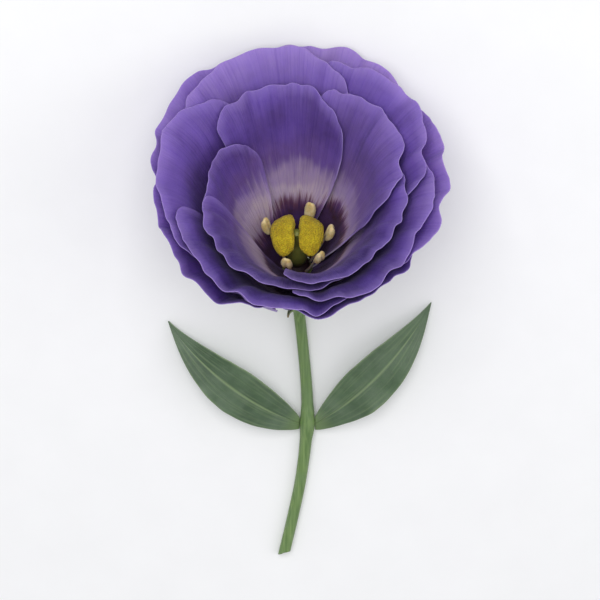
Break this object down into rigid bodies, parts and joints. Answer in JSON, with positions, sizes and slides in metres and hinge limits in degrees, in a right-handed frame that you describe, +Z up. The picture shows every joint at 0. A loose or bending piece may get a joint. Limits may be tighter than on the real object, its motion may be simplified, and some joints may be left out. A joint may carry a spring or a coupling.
{
  "type": "lisianthus flower",
  "caption": "Cut double lisianthus flower, open purple bloom with ruffled petal rows, yellow stigma and cream anthers, on a short leafy stem, lying on its side.",
  "frame": {"origin": "middle of the footprint, on the surface that the flower lies on", "axes": "+Z up; +Y along the flower from the cut end of its stem to its bloom, which opens towards +Y and up; +X to the right when looking along +Y"},
  "size_m": [0.0611, 0.1237, 0.0534],
  "materials": {
    "petal": "satin",
    "sepal": "satin",
    "stamen": "matte",
    "pistil": "matte",
    "stem": "satin",
    "leaf": "satin"
  },
  "bodies": {
    "root": {"outer_petal_1": "petal", "outer_petal_2": "petal", "outer_petal_3": "petal", "outer_petal_4": "petal", "outer_petal_5": "petal", "middle_petal_1": "petal", "middle_petal_2": "petal", "middle_petal_3": "petal", "middle_petal_4": "petal", "middle_petal_5": "petal", "inner_petal_1": "petal", "inner_petal_2": "petal", "inner_petal_3": "petal", "inner_petal_4": "petal", "inner_petal_5": "petal", "sepal_1": "sepal", "sepal_2": "sepal", "sepal_3": "sepal", "sepal_4": "sepal", "sepal_5": "sepal", "stamen_1": "stamen", "stamen_2": "stamen", "stamen_3": "stamen", "stamen_4": "stamen", "stamen_5": "stamen", "pistil": "pistil", "stem": "stem", "leaf_left": "leaf", "leaf_right": "leaf"}
  },
  "joints": []
}
